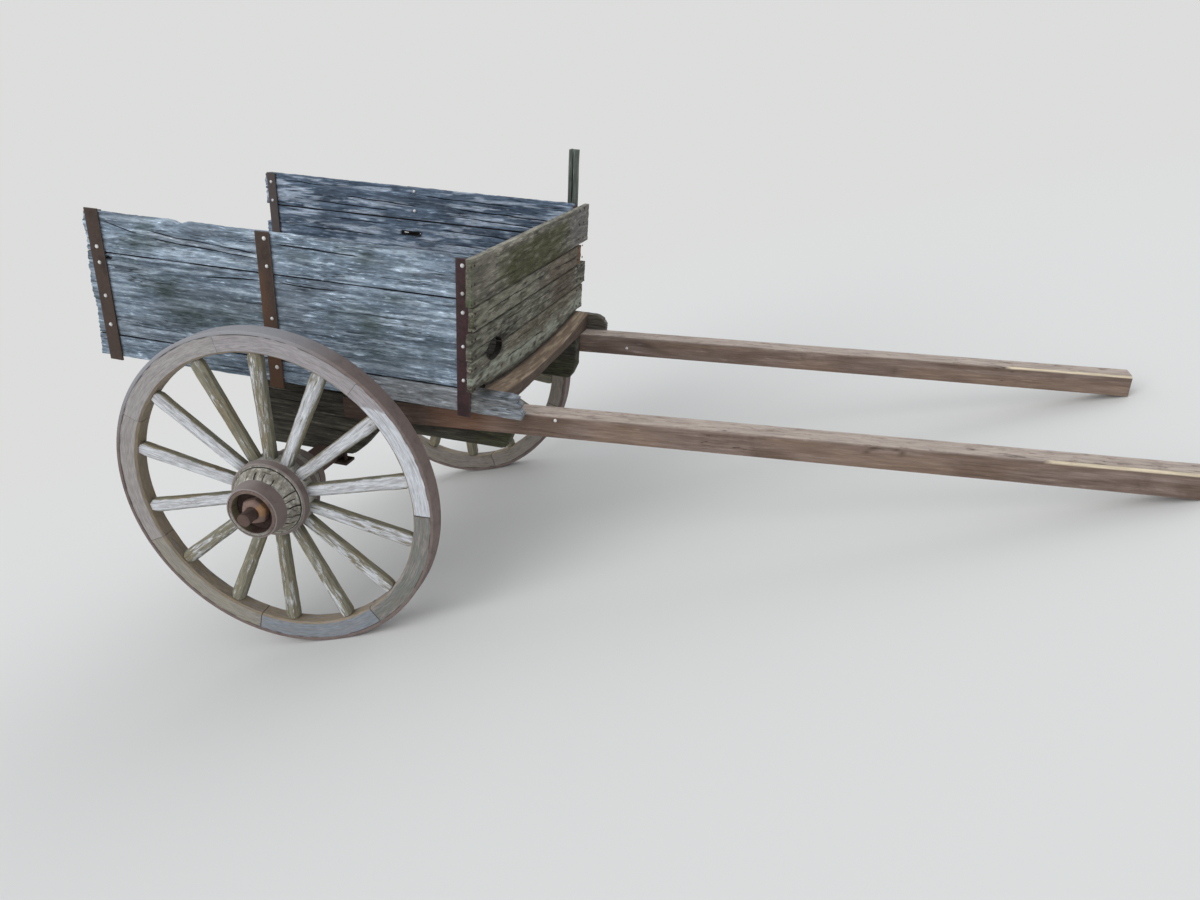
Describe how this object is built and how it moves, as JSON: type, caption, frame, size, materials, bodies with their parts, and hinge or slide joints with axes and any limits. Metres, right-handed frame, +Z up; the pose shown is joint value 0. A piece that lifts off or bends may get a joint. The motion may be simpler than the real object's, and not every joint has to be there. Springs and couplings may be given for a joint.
{
  "type": "two-wheeled bullock cart",
  "caption": "Old two-wheeled wooden farm cart with an open-backed plank box, spoked iron-tyred wheels and two long shafts resting on the ground.",
  "frame": {"origin": "on the floor, midway between the sills' rear ends and the shafts' tips, on the cart's middle line", "axes": "+X forward along the cart, +Y to its left, +Z up; the bed stands nose down, as parked on its shafts"},
  "size_m": [3.469, 1.8978, 1.637],
  "materials": {
    "weathered_plank": "weathered grey, cracked",
    "mossy_plank": "weathered, moss-stained",
    "floor_plank": "weathered",
    "old_beam": "rough-sawn, weathered",
    "shaft_timber": "planed, sun-bleached on top",
    "stake_timber": "rough",
    "nave_timber": "turned, cracked",
    "painted_spoke": "worn pale paint",
    "felloe_timber": "worn paint over sawn wood",
    "rusty_iron": "rusted",
    "red_rusty_iron": "rusted, remains of red paint",
    "cast_iron": "rough"
  },
  "bodies": {
    "cart": {"right_sill": "weathered_plank", "right_middle_board": "weathered_plank", "right_top_board": "weathered_plank", "right_rear_strap": "rusty_iron", "right_middle_strap": "rusty_iron", "right_inner_strap": "rusty_iron", "right_axle_clip": "rusty_iron", "right_axle_nut": "rusty_iron", "right_corner_iron": "red_rusty_iron", "right_rail": "old_beam", "right_shaft": "shaft_timber", "left_sill": "weathered_plank", "left_middle_board": "weathered_plank", "left_top_board": "weathered_plank", "left_rear_strap": "rusty_iron", "left_middle_strap": "rusty_iron", "left_inner_strap": "rusty_iron", "left_axle_clip": "rusty_iron", "left_axle_nut": "rusty_iron", "left_corner_iron": "red_rusty_iron", "left_rail": "old_beam", "left_shaft": "shaft_timber", "head_board_bottom": "mossy_plank", "head_board_third": "mossy_plank", "head_board_second": "mossy_plank", "head_board_top": "mossy_plank", "joists": "old_beam", "floor_boards": "floor_plank", "front_beam": "shaft_timber", "corner_stake": "stake_timber", "axle": "rusty_iron"},
    "right_wheel": {"right_nave": "nave_timber", "right_nave_bands": "rusty_iron", "right_axle_box": "cast_iron", "right_spokes": "painted_spoke", "right_felloes": "felloe_timber", "right_tyre": "rusty_iron"},
    "left_wheel": {"left_nave": "nave_timber", "left_nave_bands": "rusty_iron", "left_axle_box": "cast_iron", "left_spokes": "painted_spoke", "left_felloes": "felloe_timber", "left_tyre": "rusty_iron"}
  },
  "joints": [
    {"name": "right_wheel_spin", "type": "hinge", "parent": "cart", "child": "right_wheel", "pos_m": [-1.05801, -0.752, 0.58066], "axis": [-0.0436, 0.9987, 0.0262], "continuous": true},
    {"name": "left_wheel_spin", "type": "hinge", "parent": "cart", "child": "left_wheel", "pos_m": [-1.05801, 0.752, 0.58066], "axis": [0.0436, 0.9987, -0.0262], "continuous": true}
  ]
}
